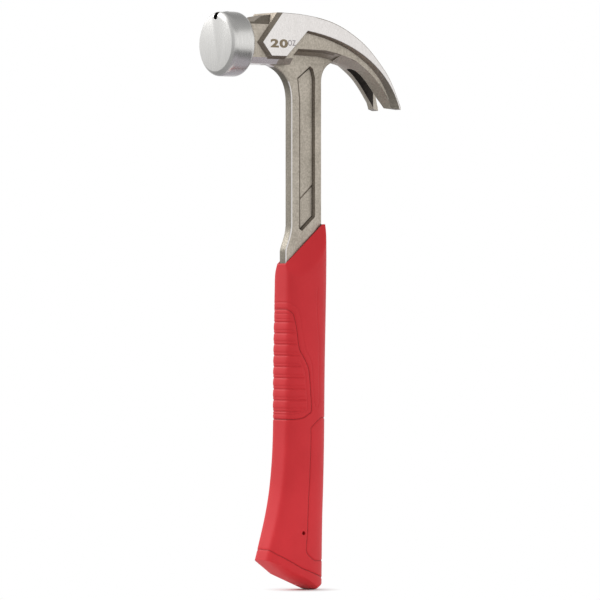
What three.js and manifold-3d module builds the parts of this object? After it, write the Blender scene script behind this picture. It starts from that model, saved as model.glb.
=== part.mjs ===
// One-piece forged claw hammer with a moulded two-material grip.
//
// Frame: millimetres, +Z up the handle, the striking face looking along -X, the claw along +X,
// and the X-Z plane is the plane of symmetry. The origin is below the middle of the head, level
// with the lowest point of the butt. Outlines are drawn in the X-Z plane and extruded along Y.
import * as THREE from "three";
import { mergeVertices } from "three/addons/utils/BufferGeometryUtils.js";
import Module from "manifold-3d";

const wasm = await Module();
wasm.setup();

// ---------- driving dimensions ----------

const GAP = 0.3; // clearance between pieces that are moulded or pressed together
const THROUGH = 60; // half length of a cutter that passes right through

// heights above the lowest point of the butt
const BELL_Z = 325.3; // axis of the bell
const CROWN_Z = BELL_Z + 19.1; // highest line of the head, over the cheeks
const SHANK_TOP_Z = BELL_Z - 25.3; // where the straight shank meets the curves under the head
const MOUTH_BACK_Z = 219; // grip's mouth at the back of the shank
const MOUTH_FRONT_Z = 196.5; // grip's mouth at the front of the shank

// bell, the striking end
const FACE_REACH = 64.7; // handle axis to striking face
const BELL_R = 19.3;
const FACE_R = 16.7;
const FACE_BEVEL = 2.0; // length of the bevel round the face
const BELL_LENGTH = 14.7;
const BELL_BACK_ROUND = 1.2;

// neck and cheeks
const NECK_HALF = 11.5; // half thickness of neck and claw sides
const CHEEK_HALF = 14.2; // half thickness over the ground cheeks
const CHEEK_BEVEL = 1.7; // run of the bevel round the cheeks
const CHEEK_TIP = [-40.2, BELL_Z + 1.1]; // foremost corner of the ground cheek
const CHEEK_FOOT = [-33.6, -22.6]; // front and back of the cheek's level lower edge
const CHEEK_FOOT_Z = BELL_Z - 6.9;
const CHEEK_NOTCH = [-7.1, CROWN_Z - 10.5]; // where the cheek turns into the band along the claw
const NECK_TOP_Z = BELL_Z + 13.4;
const NECK_BOTTOM_Z = BELL_Z - 11.6;
const NECK_TOP_CHAMFER = 5.4;
const NECK_BOTTOM_CHAMFER = 3.6;
const CHAMFER_END_X = -26; // the neck's chamfers stop under the cheek's front corner

// claw
const CLAW_REACH = 63.3; // handle axis to claw tips
const CLAW_TIP_Z = BELL_Z - 36.9;
const CLAW_ROOT = [31, CROWN_Z - 25.6]; // where the claw's underside meets the curve from the shank
const CLAW_TIP_THICKNESS = 5.5;
const SLOT_TIP_WIDTH = 8.2; // nail slot between the tines
const SLOT_ROOT_WIDTH = 5.6;
const SLOT_ROOT_X = 39; // centre of the rounded root of the slot
const SLOT_FLARE = 2.6; // extra half width where the tines' inner corners are cut back
const TOP_EDGE_CHAMFER = 0.7;

// shank, an I-beam
const SHANK_DEPTH = 22.6; // along X
const HALF_DEPTH = SHANK_DEPTH / 2;
const SHANK_HALF = 3.2; // half thickness, along Y
const SHANK_EDGE = 0.6; // edge chamfer
const RECESS_DEPTH = 1.9;
const RECESS_WALL = 1.2; // run of the recess's sloping wall
const FLANGE_FRONT = 5.6;
const FLANGE_BACK = 4.8;
const RECESS_TOP_Z = BELL_Z - 11.6;
const RECESS_BOTTOM_Z = 214.8;
const FLARE = 4.3; // how far the shank's front swells where it enters the grip

// tang, the part of the forging inside the grip
const TANG_WIDTH = 17;
const TANG_END_Z = 40;
const TANG_SHOULDER_Z = 186;
const TANG_LEAN = -5.5; // how far the tang's end stands forward of the handle axis
const TANG_HOLE_R = 4;
const TANG_HOLE_HEIGHTS = [160, 115, 70];

// nail-starting notch on top of the bell
const NOTCH_WIDTH = 4;
const NOTCH_DEPTH = 3.5;
const NAIL_HEAD_WIDTH = 12; // wider pocket behind the bevel, for the nail's head
const NAIL_HEAD_LENGTH = 5;
const NAIL_HEAD_START = 2.4; // from the striking face
const MAGNET_R = 2.5;
const MAGNET_HEIGHT = 3;

// grip
const GRIP_HALF = 12.4; // half thickness, along Y
const GRIP_SQUARENESS = 2.6; // 2 makes the section an ellipse, more makes it squarer
const BUTT_ROUND = 4.5; // how far the butt's long edges are rounded off
const GRIP_SIDES = 40;
const GRIP_RINGS = 24;
const SKIN = 2.2; // thickness of the soft second-shot pads
const CORE_WALL = 1.5;
const SHELL_MOUTH_HALF = SHANK_HALF + 1.2; // half thickness of the grip at its mouth
const MOUTH_TAPER = 11.2; // length over which the mouth swells to full thickness
const FINGER_PAD_END_Z = 102; // lower end of the finger pad
const RIB_COUNT = 9;
const RIB_PITCH = 6.7;
const RIB_TOP_Z = 160.9; // highest groove of the finger pad
const GROOVE_WIDTH = 1.6;
const GROOVE_DEPTH = 0.7;
const LANYARD_HOLE_R = 1.2;
const LANYARD_HOLE = [-8.8, 34.4];
const PLUG_LENGTH = 5; // of the butt cap's plug inside the shell
const PLUG_WIDTH = 20;
const PLUG_HALF = 6;

// the grip's sides at a few heights: [Z, how far it stands in front of the shank, and behind it]
const GRIP_STATIONS = [
  [238, 5.9, 2.1],
  [191, 6.1, 2.1],
  [134, 7.1, 0.9],
  [90, 7.7, 0.4],
  [64, 9.9, -0.1],
  [45, 13.6, -0.6],
  [26, 19.2, -0.7],
  [8, 24.6, -0.7],
  [-8, 29.4, -0.7],
];

// ---------- helpers ----------

/** A closed geometry as a manifold solid. */
function solid(geometry) {
  geometry.deleteAttribute("normal");
  geometry.deleteAttribute("uv");
  const merged = mergeVertices(geometry, 1e-4);
  return new wasm.Manifold(
    new wasm.Mesh({
      numProp: 3,
      vertProperties: merged.attributes.position.array,
      triVerts: new Uint32Array(merged.index.array),
    }),
  );
}

/** A shape in X-Z through the given corners. */
function outline(points) {
  return new THREE.Shape(points.map(([x, z]) => new THREE.Vector2(x, z)));
}

/** Extrudes an X-Z shape along Y to both sides of the plane of symmetry. The bevel shrinks the shape
 * by `inset` towards both sides over the last `height` of the thickness. */
function plate(shape, half, { inset = 0, height = 0, segments = 1, curveSegments = 12 } = {}) {
  const beveled = height > 0;
  const depth = 2 * (half - height);
  const geometry = new THREE.ExtrudeGeometry(shape, {
    depth,
    curveSegments,
    bevelEnabled: beveled,
    bevelSize: inset,
    bevelOffset: -inset,
    bevelThickness: height,
    bevelSegments: segments,
  });
  geometry.rotateX(Math.PI / 2).translate(0, depth / 2, 0);
  return solid(geometry);
}

/** A box given by its lowest and highest corners. */
function block([x0, y0, z0], [x1, y1, z1]) {
  const box = new THREE.BoxGeometry(x1 - x0, y1 - y0, z1 - z0);
  return solid(box.translate((x0 + x1) / 2, (y0 + y1) / 2, (z0 + z1) / 2));
}

/** A cylinder along Y through the point [x, z]. */
function crossPin(radius, [x, z], half = THROUGH, sides = 24) {
  return solid(new THREE.CylinderGeometry(radius, radius, 2 * half, sides).translate(x, 0, z));
}

/** A cubic curve between two X-Z points, with its two handles. */
function bend(a, b, c, d, steps = 18) {
  const curve = new THREE.CubicBezierCurve(
    ...[a, b, c, d].map(([x, z]) => new THREE.Vector2(x, z)),
  );
  return curve.getPoints(steps).map((p) => [p.x, p.y]);
}

/** A smooth curve through the given X-Z points. */
function through(points, steps) {
  const curve = new THREE.SplineCurve(points.map(([x, z]) => new THREE.Vector2(x, z)));
  return curve.getPoints(steps).map((p) => [p.x, p.y]);
}

function mesh(name, body, color, roughness, metalness) {
  const made = body.getMesh();
  const geometry = new THREE.BufferGeometry()
    .setAttribute("position", new THREE.BufferAttribute(made.vertProperties, 3))
    .setIndex(new THREE.BufferAttribute(made.triVerts, 1));
  const material = new THREE.MeshStandardMaterial({ color, roughness, metalness });
  const piece = new THREE.Mesh(geometry, material);
  piece.name = name;
  return piece;
}

// ---------- head ----------

const FACE_X = -FACE_REACH;
const BELL_BACK_X = FACE_X + BELL_LENGTH;
const BELL_TOP_Z = BELL_Z + BELL_R;

// top line of the head from over the cheeks to the claw tips
const crownLine = through(
  [
    [CHAMFER_END_X, CROWN_Z],
    [-12, CROWN_Z - 0.7],
    [2, CROWN_Z - 2.5],
    [14, CROWN_Z - 5.7],
    [26, CROWN_Z - 11.1],
    [38, CROWN_Z - 19.2],
    [CLAW_REACH - 13.2, CLAW_TIP_Z + 24.6],
    [CLAW_REACH - 7.1, CLAW_TIP_Z + 15.6],
    [CLAW_REACH - 1.5, CLAW_TIP_Z + 4.6],
    [CLAW_REACH, CLAW_TIP_Z + 0.6],
  ],
  24,
);
// underside of the claw from its root by the shank to the tips
const clawUnderside = bend(
  CLAW_ROOT,
  [43, CROWN_Z - 30],
  [CLAW_REACH - 10, CLAW_TIP_Z + 12],
  [CLAW_REACH - CLAW_TIP_THICKNESS, CLAW_TIP_Z + 2.8],
);

/** The bell: a turned cylinder along X with a flat face. */
function bell() {
  const profile = [
    [0, 0],
    [FACE_R, 0],
    [BELL_R, FACE_BEVEL],
    [BELL_R, BELL_LENGTH - BELL_BACK_ROUND],
    [BELL_R - BELL_BACK_ROUND, BELL_LENGTH],
    [0, BELL_LENGTH],
  ].map(([r, along]) => new THREE.Vector2(r, along));
  const geometry = new THREE.LatheGeometry(profile, 72);
  geometry.rotateZ(-Math.PI / 2).translate(FACE_X, 0, BELL_Z);
  return solid(geometry);
}

/** Side outline of neck, head and claw, without the shank. */
function headOutline() {
  return outline([
    [BELL_BACK_X - 1, NECK_TOP_Z],
    [BELL_BACK_X + 6, NECK_TOP_Z],
    [-39, NECK_TOP_Z + 3],
    [-34, NECK_TOP_Z + 4.2],
    ...crownLine,
    ...clawUnderside.toReversed(),
    [8, CROWN_Z - 21.8],
    [-12, CROWN_Z - 21.2],
    [-19.5, CROWN_Z - 29],
    [-30, NECK_BOTTOM_Z + 0.2],
    [BELL_BACK_X - 1, NECK_BOTTOM_Z],
  ]);
}

/** The flat ground cheek and the bright band that it sends along the claw. */
function cheekOutline() {
  return outline([
    CHEEK_TIP,
    ...crownLine.map(([x, z]) => [x, z + CHEEK_BEVEL]),
    [CLAW_REACH - 1.3, CLAW_TIP_Z - 1],
    ...bend(
      [CLAW_REACH - 1.4, CLAW_TIP_Z + 0.8],
      [CLAW_REACH - 9, CLAW_TIP_Z + 20],
      [32, CROWN_Z - 18],
      CHEEK_NOTCH,
      12,
    ),
    [CHEEK_FOOT[1], CHEEK_FOOT_Z],
    [CHEEK_FOOT[0], CHEEK_FOOT_Z],
  ]);
}

/** Wedges that take the neck's four long corners off. */
function neckChamfers() {
  const corner = (z, direction, size) => {
    const section = outline([
      [NECK_HALF - size, z + direction * 8],
      [NECK_HALF - size, z],
      [NECK_HALF, z - direction * size],
      [NECK_HALF + 8, z - direction * size],
      [NECK_HALF + 8, z + direction * 8],
    ]);
    const geometry = new THREE.ExtrudeGeometry(section, {
      depth: CHAMFER_END_X - BELL_BACK_X,
      bevelEnabled: false,
    });
    // section X becomes Y, section Y becomes Z, and the extrusion runs along +X
    const matrix = new THREE.Matrix4().set(0, 0, 1, BELL_BACK_X, 1, 0, 0, 0, 0, 1, 0, 0, 0, 0, 0, 1);
    return solid(geometry.applyMatrix4(matrix));
  };
  const oneSide = corner(NECK_TOP_Z + 4.2, 1, NECK_TOP_CHAMFER).add(
    corner(NECK_BOTTOM_Z, -1, NECK_BOTTOM_CHAMFER),
  );
  return oneSide.add(oneSide.mirror([0, 1, 0]));
}

/** The nail slot: an opening between the tines that flares at their tips. */
function nailSlot() {
  const half = (at) => (at ? SLOT_TIP_WIDTH : SLOT_ROOT_WIDTH) / 2;
  const plan = new THREE.Shape();
  const flareX = CLAW_REACH - 6;
  plan.moveTo(CLAW_REACH + 10, -half(1) - 2 * SLOT_FLARE);
  plan.lineTo(CLAW_REACH + 10, half(1) + 2 * SLOT_FLARE);
  plan.lineTo(CLAW_REACH, half(1) + SLOT_FLARE);
  plan.lineTo(flareX, half(1));
  plan.lineTo(SLOT_ROOT_X, half(0));
  plan.absarc(SLOT_ROOT_X, 0, half(0), Math.PI / 2, (3 * Math.PI) / 2, false);
  plan.lineTo(flareX, -half(1));
  plan.lineTo(CLAW_REACH, -half(1) - SLOT_FLARE);
  const geometry = new THREE.ExtrudeGeometry(plan, { depth: 90, bevelEnabled: false });
  return solid(geometry.translate(0, 0, CLAW_TIP_Z - 20));
}

/** Side outline of shank and tang, with the curves that run into the head. */
function shankOutline() {
  const half = SHANK_DEPTH / 2;
  return outline([
    [-24, CROWN_Z - 14],
    [-30, NECK_BOTTOM_Z + 2],
    [-30, NECK_BOTTOM_Z],
    ...bend([-27.5, NECK_BOTTOM_Z], [-19, NECK_BOTTOM_Z - 2.5], [-half, SHANK_TOP_Z + 6], [-half, SHANK_TOP_Z - 8]),
    ...bend(
      [-half, MOUTH_BACK_Z - 1],
      [-half - 0.6, MOUTH_BACK_Z - 9],
      [-half - FLARE, MOUTH_FRONT_Z + 9.5],
      [-half - FLARE, MOUTH_FRONT_Z + 5.5],
      8,
    ),
    [-half - FLARE, MOUTH_FRONT_Z - 4],
    [TANG_LEAN * 0.1 - TANG_WIDTH / 2, TANG_SHOULDER_Z],
    [TANG_LEAN - TANG_WIDTH / 2 + 2, TANG_END_Z],
    [TANG_LEAN + TANG_WIDTH / 2 - 2, TANG_END_Z],
    [TANG_LEAN * 0.1 + TANG_WIDTH / 2, TANG_SHOULDER_Z],
    [half, MOUTH_FRONT_Z],
    ...bend([half, SHANK_TOP_Z + 4], [half, CLAW_ROOT[1] - 5.4], [CLAW_ROOT[0] - 10, CLAW_ROOT[1]], CLAW_ROOT, 12),
    [CLAW_ROOT[0], CROWN_Z - 18],
    [10, CROWN_Z - 14],
  ]);
}

/** The recess in one side of the shank, as a cutter with sloping walls. */
function shankRecess() {
  const front = -SHANK_DEPTH / 2 + FLANGE_FRONT;
  const back = SHANK_DEPTH / 2 - FLANGE_BACK;
  const shape = outline([
    [front, RECESS_BOTTOM_Z + 1.4],
    [front + 2.2, RECESS_BOTTOM_Z],
    [back, RECESS_BOTTOM_Z + 8.5],
    [back, RECESS_TOP_Z - 7],
    [back - 1.5, RECESS_TOP_Z - 1.7],
    [back - 3.7, RECESS_TOP_Z],
    [front, RECESS_TOP_Z - 10],
  ]);
  const depth = RECESS_DEPTH;
  const cutter = plate(shape, depth, { inset: RECESS_WALL, height: depth - 0.01 });
  return cutter.translate([0, SHANK_HALF, 0]).add(cutter.translate([0, -SHANK_HALF, 0]));
}

/** Pocket, slot and magnet seat of the nail starter on top of the bell. */
function nailStarter() {
  const top = BELL_TOP_Z + 2;
  const floor = BELL_TOP_Z - NOTCH_DEPTH;
  const end = FACE_X + NAIL_HEAD_START + NAIL_HEAD_LENGTH;
  const slot = block([FACE_X - 1, -NOTCH_WIDTH / 2, floor], [end, NOTCH_WIDTH / 2, top]);
  const head = block([end - NAIL_HEAD_LENGTH, -NAIL_HEAD_WIDTH / 2, floor], [end, NAIL_HEAD_WIDTH / 2, top]);
  return slot.add(head).add(magnetBody(GAP, GAP));
}

/** The magnet, or with a clearance its seat in the bell. */
function magnetBody(clearance = 0, above = 0) {
  const top = BELL_TOP_Z - NOTCH_DEPTH + above;
  const bottom = BELL_TOP_Z - NOTCH_DEPTH - GAP - MAGNET_HEIGHT - clearance;
  const radius = MAGNET_R + clearance;
  const rod = new THREE.CylinderGeometry(radius, radius, top - bottom, 32).rotateX(Math.PI / 2);
  const x = FACE_X + NAIL_HEAD_START + NAIL_HEAD_LENGTH / 2;
  return solid(rod.translate(x, 0, (top + bottom) / 2));
}

function forging() {
  const head = plate(headOutline(), NECK_HALF).subtract(neckChamfers());
  const cheeks = plate(grown(cheekOutline()), CHEEK_HALF, {
    inset: CHEEK_BEVEL,
    height: CHEEK_HALF - NECK_HALF,
  }).intersect(plate(headTrim(), CHEEK_HALF, { inset: TOP_EDGE_CHAMFER, height: TOP_EDGE_CHAMFER }));
  const shank = plate(shankOutline(), SHANK_HALF, { inset: SHANK_EDGE, height: SHANK_EDGE });
  const holes = tangHoles(TANG_HOLE_R);
  return bell()
    .add(head)
    .add(cheeks)
    .subtract(nailSlot())
    .add(shank)
    .subtract(shankRecess())
    .subtract(holes)
    .subtract(nailStarter());
}

/** The cheek outline grown by its bevel, so that the bevel ends on the outline itself. */
function grown(shape) {
  const points = shape.getPoints();
  const count = points.length;
  return new THREE.Shape(
    points.map((p, i) => {
      const before = points[(i + count - 1) % count];
      const after = points[(i + 1) % count];
      const a = p.clone().sub(before).normalize();
      const b = after.clone().sub(p).normalize();
      const normal = new THREE.Vector2(-(a.y + b.y), a.x + b.x).normalize();
      const spread = Math.max(0.35, normal.dot(new THREE.Vector2(-a.y, a.x)));
      return p.clone().addScaledVector(normal, CHEEK_BEVEL / spread);
    }),
  );
}

/** Everything of the head that the cheeks may fill: bounded above by the crown line. */
function headTrim() {
  return outline([
    [-44, NECK_TOP_Z + 3],
    [-34, NECK_TOP_Z + 4.2],
    ...crownLine,
    [CLAW_REACH - 1.5, CLAW_TIP_Z],
    [CLAW_REACH - CLAW_TIP_THICKNESS, CLAW_TIP_Z + 2.8],
    [20, NECK_BOTTOM_Z],
    [-44, NECK_BOTTOM_Z],
  ]);
}

function tangHoles(radius) {
  const axisX = (z) => TANG_LEAN * (0.1 + (0.9 * (TANG_SHOULDER_Z - z)) / (TANG_SHOULDER_Z - TANG_END_Z));
  return TANG_HOLE_HEIGHTS.map((z) => crossPin(radius, [axisX(z), z])).reduce((a, b) => a.add(b));
}

// ---------- grip ----------

/** Full outer shape of the grip, longer than the grip at both ends; `less` makes it slimmer all round.
 * A unit cylinder's rings become rounded ovals between the front and back curves. */
function gripBlank(less = 0) {
  const curve = (column, side) =>
    new THREE.SplineCurve(
      GRIP_STATIONS.map((row) => new THREE.Vector2(side * (HALF_DEPTH + row[column]), row[0])),
    );
  const [front, back] = [curve(1, -1), curve(2, 1)];
  const geometry = new THREE.CylinderGeometry(1, 1, 1, GRIP_SIDES, GRIP_RINGS);
  const point = geometry.attributes.position;
  const oval = (value) => Math.sign(value) * Math.abs(value) ** (2 / GRIP_SQUARENESS);
  for (let i = 0; i < point.count; i++) {
    const along = 0.5 - point.getY(i);
    const [a, b] = [front.getPoint(along), back.getPoint(along)];
    const x = (a.x + b.x) / 2 + oval(point.getX(i)) * ((b.x - a.x) / 2 - less);
    point.setXYZ(i, x, -oval(point.getZ(i)) * (GRIP_HALF - less), a.y);
  }
  return solid(geometry);
}

/** Everything on one side of a line in X-Z: the side that lies to the left of the way a to b. */
function leftOf(a, b, reach = 400) {
  const from = new THREE.Vector2(...a);
  const along = new THREE.Vector2(...b).sub(from).normalize();
  const left = new THREE.Vector2(-along.y, along.x);
  const corners = [
    from.clone().addScaledVector(along, -reach),
    from.clone().addScaledVector(along, reach),
    from.clone().addScaledVector(along, reach).addScaledVector(left, reach),
    from.clone().addScaledVector(along, -reach).addScaledVector(left, reach),
  ];
  return plate(new THREE.Shape(corners), THROUGH);
}

const mouthLine = [
  [HALF_DEPTH, MOUTH_BACK_Z],
  [-HALF_DEPTH - FLARE + 1, MOUTH_FRONT_Z],
];
// seam between shell and butt cap, from in front of the grip to behind it
const capSeam = [
  [-40, 33],
  [-27, 22.3],
  [-10, 13.4],
  [20, 3.2],
];
// the butt's slanting underside, drawn on past the grip at both ends
const buttLine = [
  [-60, 38.6],
  [-18.5, 9],
  [3.5, 0],
  [40, 24],
];

/** The grip's outer shape between its mouth and its butt, before it is parted into pieces. */
function gripBody(less = 0) {
  const mouth = leftOf(...mouthLine);
  const side = outline([...buttLine, [40, MOUTH_BACK_Z], [-60, MOUTH_BACK_Z]]);
  const ends = plate(side, GRIP_HALF + 0.5, { inset: BUTT_ROUND, height: 2 * BUTT_ROUND, segments: 3 });
  return gripBlank(less).intersect(mouth).intersect(ends).subtract(mouthTapers(less));
}

/** Wedges that thin the grip's sides down to the shank at its mouth. */
function mouthTapers(less) {
  const [from, to] = mouthLine.map(([x, z]) => new THREE.Vector2(x, z));
  const angle = Math.atan2(from.y - to.y, from.x - to.x);
  const reach = 80;
  const taper = new THREE.Shape([
    new THREE.Vector2(SHELL_MOUTH_HALF - less, 0),
    new THREE.Vector2(GRIP_HALF - less, -MOUTH_TAPER),
    new THREE.Vector2(GRIP_HALF + 8, -MOUTH_TAPER),
    new THREE.Vector2(GRIP_HALF + 8, 30),
    new THREE.Vector2(SHELL_MOUTH_HALF - less, 30),
  ]);
  const geometry = new THREE.ExtrudeGeometry(taper, { depth: reach, bevelEnabled: false });
  // the wedge's section lies across the mouth line, and it is as long as the line and more
  const swap = new THREE.Matrix4().set(0, 0, 1, -reach / 2, 1, 0, 0, 0, 0, 1, 0, 0, 0, 0, 0, 1);
  geometry.applyMatrix4(swap).rotateY(-angle);
  geometry.translate((from.x + to.x) / 2, 0, (from.y + to.y) / 2);
  const wedge = solid(geometry);
  return wedge.add(wedge.mirror([0, 1, 0]));
}

/** The tang and the shank's foot, grown by a clearance: the room that they need inside the grip. */
function tangRoom(clearance) {
  const half = HALF_DEPTH;
  const end = TANG_WIDTH / 2 - 2 + clearance;
  const top = TANG_WIDTH / 2 + clearance;
  const shape = outline([
    [-half - FLARE - clearance, MOUTH_BACK_Z + 20],
    [-half - FLARE - clearance, MOUTH_FRONT_Z - 4 - clearance],
    [TANG_LEAN * 0.1 - top, TANG_SHOULDER_Z - clearance],
    [TANG_LEAN - end, TANG_END_Z - clearance],
    [TANG_LEAN + end, TANG_END_Z - clearance],
    [TANG_LEAN * 0.1 + top, TANG_SHOULDER_Z - clearance],
    [half + clearance, MOUTH_FRONT_Z - clearance],
    [half + clearance, MOUTH_BACK_Z + 20],
  ]);
  return plate(shape, SHANK_HALF + clearance);
}

/** Space of the hard core round the tang; `clearance` grows it all round. */
function coreSpace(clearance = 0) {
  const wall = CORE_WALL + GAP + clearance;
  const end = TANG_WIDTH / 2 - 2 + wall;
  const top = TANG_WIDTH / 2 + wall;
  const topZ = TANG_SHOULDER_Z - 6 + clearance;
  const bottomZ = TANG_END_Z - 3 - clearance;
  const shape = outline([
    [TANG_LEAN * 0.13 - top, topZ],
    [TANG_LEAN - end, bottomZ],
    [TANG_LEAN + end, bottomZ],
    [TANG_LEAN * 0.13 + top, topZ],
  ]);
  return plate(shape, SHANK_HALF + wall, { inset: 1.2, height: 1.2 });
}

/** Hard first-shot sleeve round the tang, with pegs through the tang's holes. */
function gripCore() {
  return coreSpace().subtract(tangRoom(GAP).subtract(tangHoles(TANG_HOLE_R - GAP)));
}

/** Space of the ribbed pad that wraps the front of the grip. */
function fingerPadSpace(clearance = 0) {
  const c = clearance;
  const edge = through(
    [
      [-21, 172.5],
      [-15.1, 169.9],
      [-13.6, 160.4],
      [-12.8, 152.6],
      [-9.1, 140.7],
      [-4.7, 134],
      [-3.2, 117],
      [-2.8, 108],
      [-6.5, FINGER_PAD_END_Z + 2.2],
      [-14, FINGER_PAD_END_Z],
    ].map(([x, z]) => [x + c, z + (z > RIB_TOP_Z ? c : z < FINGER_PAD_END_Z + 8 ? -c : 0)]),
    30,
  );
  return plate(outline([[-40, 173 + c], [-21, 172.6 + c], ...edge, [-40, FINGER_PAD_END_Z - c]]), THROUGH);
}

/** Grooves of the finger pad: rings round the front that stop short of the pad's edge. */
function ribGrooves() {
  const ring = gripBlank(-4).subtract(gripBlank(GROOVE_DEPTH));
  let grooves = null;
  for (let i = 0; i < RIB_COUNT; i++) {
    const z = RIB_TOP_Z - i * RIB_PITCH;
    const end = i < 4 ? -16.5 : -9.5;
    const slab = block([-40, -THROUGH, z - GROOVE_WIDTH / 2], [end, THROUGH, z + GROOVE_WIDTH / 2]);
    grooves = grooves ? grooves.add(slab) : slab;
  }
  return ring.intersect(grooves);
}

/** Space of the pad that wraps the back of the grip near the butt. */
function spinePadSpace(clearance = 0) {
  const c = clearance;
  const edge = through(
    [
      [4.6, 102.9 + c],
      [-3.2 - c, 96],
      [-3.2 - c, 89.9],
      [-3.9 - c, 72],
      [-5.1 - c, 54],
      [-6.5 - c, 27],
      [-3.2 - c, 19.8 - c],
      [3.1, 17.5 - c],
    ],
    30,
  );
  return plate(outline([[30, 102.9 + c], ...edge, [30, 17.5 - c]]), THROUGH);
}

/** A soft pad: the outer skin of the grip inside the given space. */
function pad(space) {
  return gripBody().intersect(space).subtract(gripBlank(SKIN));
}

/** The pocket that a soft pad lies in. */
function padPocket(space) {
  return space.subtract(gripBlank(SKIN + GAP));
}

/** Everything below the butt cap's seam; `raise` lifts the seam. */
function belowCap(raise = 0) {
  const seam = capSeam.map(([x, z]) => [x, z + raise]);
  return plate(outline([...seam, [20, -THROUGH], [-40, -THROUGH]]), THROUGH);
}

/** The plug that holds the butt cap in the shell; `clearance` gives its socket. */
function capPlug(clearance = 0) {
  const [, front, middle] = capSeam;
  const angle = Math.atan2(front[1] - middle[1], middle[0] - front[0]);
  const size = [PLUG_WIDTH + 2 * clearance, 2 * (PLUG_HALF + clearance), 2 * (PLUG_LENGTH + clearance)];
  const box = new THREE.BoxGeometry(...size).rotateY(angle);
  return solid(box.translate(middle[0], 0, middle[1]));
}

function buttCap() {
  const cap = gripBody().intersect(belowCap());
  return cap.add(capPlug().subtract(belowCap(-1)));
}

function gripShell() {
  return gripBody()
    .subtract(belowCap(GAP))
    .subtract(capPlug(GAP))
    .subtract(tangRoom(GAP))
    .subtract(coreSpace(GAP))
    .subtract(padPocket(fingerPadSpace(GAP)))
    .subtract(padPocket(spinePadSpace(GAP)))
    .subtract(crossPin(LANYARD_HOLE_R, LANYARD_HOLE, THROUGH, 16));
}

const group = new THREE.Group();
group.position.x = (FACE_REACH - CLAW_REACH) / 2; // the origin lies below the middle of the head
group.add(
  mesh("hammer_forging", forging(), 0xb4aa9e, 0.45, 1.0),
  mesh("nail_magnet", magnetBody(), 0x1c1c20, 0.4, 0.9),
  mesh("grip_core", gripCore(), 0x7c1c20, 0.6, 0.0),
  mesh("grip_shell", gripShell(), 0xbc3238, 0.5, 0.0),
  mesh("finger_pad", pad(fingerPadSpace()).subtract(ribGrooves()), 0xc8383c, 0.65, 0.0),
  mesh("spine_pad", pad(spinePadSpace()), 0xb83036, 0.65, 0.0),
  mesh("butt_cap", buttCap(), 0xbc3238, 0.5, 0.0),
);
export default group;
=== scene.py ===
"""A claw hammer: one steel forging with a moulded grip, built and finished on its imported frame."""

# %% [markdown]
# # A claw hammer
#
# The hammer is one steel forging (bell, neck, cheeks, claw, shank and the tang hidden in the grip)
# with a red rubber grip moulded over it. Head and grip are worked out with numpy as grids of points,
# then joined and cut with booleans, as the real tool is forged, ground and machined.
# Lengths in this lesson are in millimetres and become metres only when a mesh is made.

# %% The frame
import math
import bpy
import numpy as np
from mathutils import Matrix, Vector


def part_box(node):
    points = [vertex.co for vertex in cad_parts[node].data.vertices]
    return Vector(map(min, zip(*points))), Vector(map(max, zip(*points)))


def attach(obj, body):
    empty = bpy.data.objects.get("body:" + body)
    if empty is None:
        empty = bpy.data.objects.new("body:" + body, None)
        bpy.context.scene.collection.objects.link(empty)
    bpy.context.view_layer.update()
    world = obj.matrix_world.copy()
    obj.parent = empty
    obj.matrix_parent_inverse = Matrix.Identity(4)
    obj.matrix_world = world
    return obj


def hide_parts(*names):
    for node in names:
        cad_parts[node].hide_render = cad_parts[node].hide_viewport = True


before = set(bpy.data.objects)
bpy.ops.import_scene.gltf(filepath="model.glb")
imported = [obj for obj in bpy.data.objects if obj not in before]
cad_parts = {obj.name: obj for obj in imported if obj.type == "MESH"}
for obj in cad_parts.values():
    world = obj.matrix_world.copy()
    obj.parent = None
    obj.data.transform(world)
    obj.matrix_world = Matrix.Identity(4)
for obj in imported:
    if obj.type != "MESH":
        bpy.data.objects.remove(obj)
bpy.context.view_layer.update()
FACE_REACH = 64.7  # from the handle axis forward to the striking face
AXIS_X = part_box("hammer_forging")[0].x * 1000 + FACE_REACH
print("handle axis at x =", round(AXIS_X, 2), "mm")

# %% [markdown]
# ## Tools for surfaces
#
# Nearly every piece here is a tube: a stack of rings with the same number of points, closed at both
# ends. A plate with bevelled edges is a tube whose rings are the same outline, a little smaller
# at each end. A bell is a tube of circles, and a grip is a tube of rounded ovals. One function that
# turns rings into a mesh is therefore enough, and booleans join the results.

# %% Rings to mesh
def tube(name, rings):
    """Mesh through rings, an array (rings, points, 3) in mm: a quad between each pair of neighbouring
    points on neighbouring rings, and one flat face to close each end. The enclosed volume, the sum of
    the triangles' triple products, tells whether the faces look inwards and have to be turned."""
    rings = np.asarray(rings, float)
    rows, cols = rings.shape[:2]
    index = np.arange(rows * cols).reshape(rows, cols)
    a, b = index[:-1], index[1:]
    quads = np.stack([a, np.roll(a, -1, 1), np.roll(b, -1, 1), b], -1).reshape(-1, 4)
    points = rings.reshape(-1, 3)
    centre = points.mean(0)
    p = points[quads] - centre
    volume = np.einsum("ij,ij->i", p[:, 0], np.cross(p[:, 1], p[:, 2]) + np.cross(p[:, 2], p[:, 3])).sum()
    faces = quads.tolist() + [index[0, ::-1].tolist(), index[-1].tolist()]
    if volume < 0:
        faces = [f[::-1] for f in faces]
    mesh = bpy.data.meshes.new(name)
    mesh.from_pydata(((points + [AXIS_X, 0, 0]) / 1000).tolist(), [], faces)
    mesh.validate()
    piece = bpy.data.objects.new(name, mesh)
    bpy.context.scene.collection.objects.link(piece)
    return piece


print("rings become meshes on the handle axis, at x =", round(AXIS_X, 2), "mm")

# %% [markdown]
# ### Plates
#
# A plate is a flat outline with a thickness. Its bevels come from moving the outline's edges inwards at
# some heights, each edge by its own distance, as a file or a grinder takes more off one edge than another.

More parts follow.
